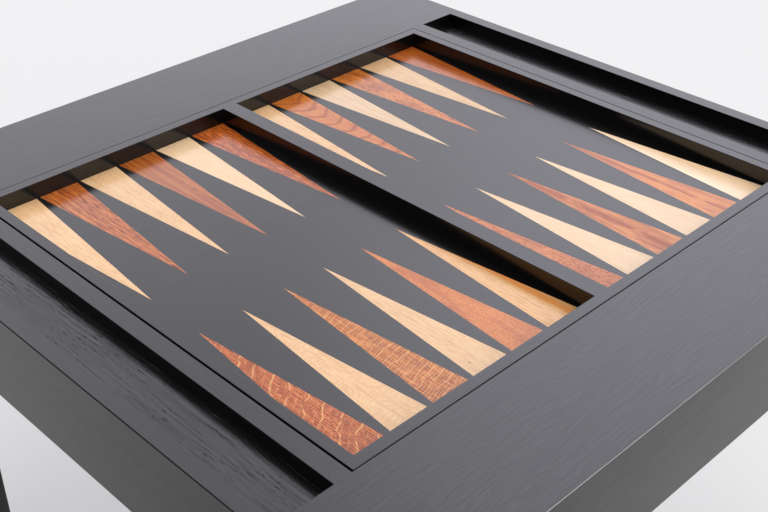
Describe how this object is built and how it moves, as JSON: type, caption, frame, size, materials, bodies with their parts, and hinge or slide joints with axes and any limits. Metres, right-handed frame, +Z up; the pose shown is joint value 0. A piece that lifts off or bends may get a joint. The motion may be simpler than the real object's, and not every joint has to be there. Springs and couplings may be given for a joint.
{
  "type": "backgammon game table",
  "caption": "Square game table in black wood with a lift-out backgammon tray of inlaid light and dark points, and a checker trough on each side.",
  "frame": {"origin": "on the floor, under the middle of the table", "axes": "+X to the near player's right, +Y away from the near player, +Z up"},
  "size_m": [0.9, 0.9, 0.75],
  "materials": {
    "black_top": "black-stained open-grain oak, satin lacquer",
    "black_frame": "black-stained open-grain oak, satin lacquer",
    "black_tray": "black-stained oak, satin lacquer",
    "black_field": "black-stained fine-grained wood, smooth satin lacquer",
    "light_oak": "clear satin lacquer",
    "red_oak": "red-brown stain under clear satin lacquer",
    "inner_beech": "plain planed beech",
    "zinc_steel": "zinc plated",
    "nylon": "moulded"
  },
  "bodies": {
    "table": {"near_rail": "black_top", "far_rail": "black_top", "left_outer_strip": "black_top", "left_trough_floor": "black_top", "left_divider": "black_top", "right_outer_strip": "black_top", "right_trough_floor": "black_top", "right_divider": "black_top", "near_apron": "black_frame", "far_apron": "black_frame", "left_apron": "black_frame", "right_apron": "black_frame", "near_left_leg": "black_frame", "near_right_leg": "black_frame", "far_left_leg": "black_frame", "far_right_leg": "black_frame", "near_bearer": "inner_beech", "far_bearer": "inner_beech", "left_bearer": "inner_beech", "right_bearer": "inner_beech", "corner_braces": "inner_beech", "dowels": "inner_beech", "hanger_bolts": "zinc_steel", "washers": "zinc_steel", "hex_nuts": "zinc_steel", "wood_screws": "zinc_steel", "foot_glides": "nylon"},
    "tray": {"tray_base": "black_tray", "tray_bar": "black_tray", "tray_near_rim": "black_tray", "tray_far_rim": "black_tray", "tray_left_rim": "black_tray", "tray_right_rim": "black_tray", "left_field": "black_field", "right_field": "black_field", "near_point_1": "red_oak", "near_point_2": "light_oak", "near_point_3": "red_oak", "near_point_4": "light_oak", "near_point_5": "red_oak", "near_point_6": "light_oak", "near_point_7": "red_oak", "near_point_8": "light_oak", "near_point_9": "red_oak", "near_point_10": "light_oak", "near_point_11": "red_oak", "near_point_12": "light_oak", "far_point_1": "light_oak", "far_point_2": "red_oak", "far_point_3": "light_oak", "far_point_4": "red_oak", "far_point_5": "light_oak", "far_point_6": "red_oak", "far_point_7": "light_oak", "far_point_8": "red_oak", "far_point_9": "light_oak", "far_point_10": "red_oak", "far_point_11": "light_oak", "far_point_12": "red_oak"}
  },
  "joints": [
    {"name": "tray_lift", "type": "slide", "parent": "table", "child": "tray", "axis": [0, 0, 1], "range_m": [0, 0.1]}
  ]
}
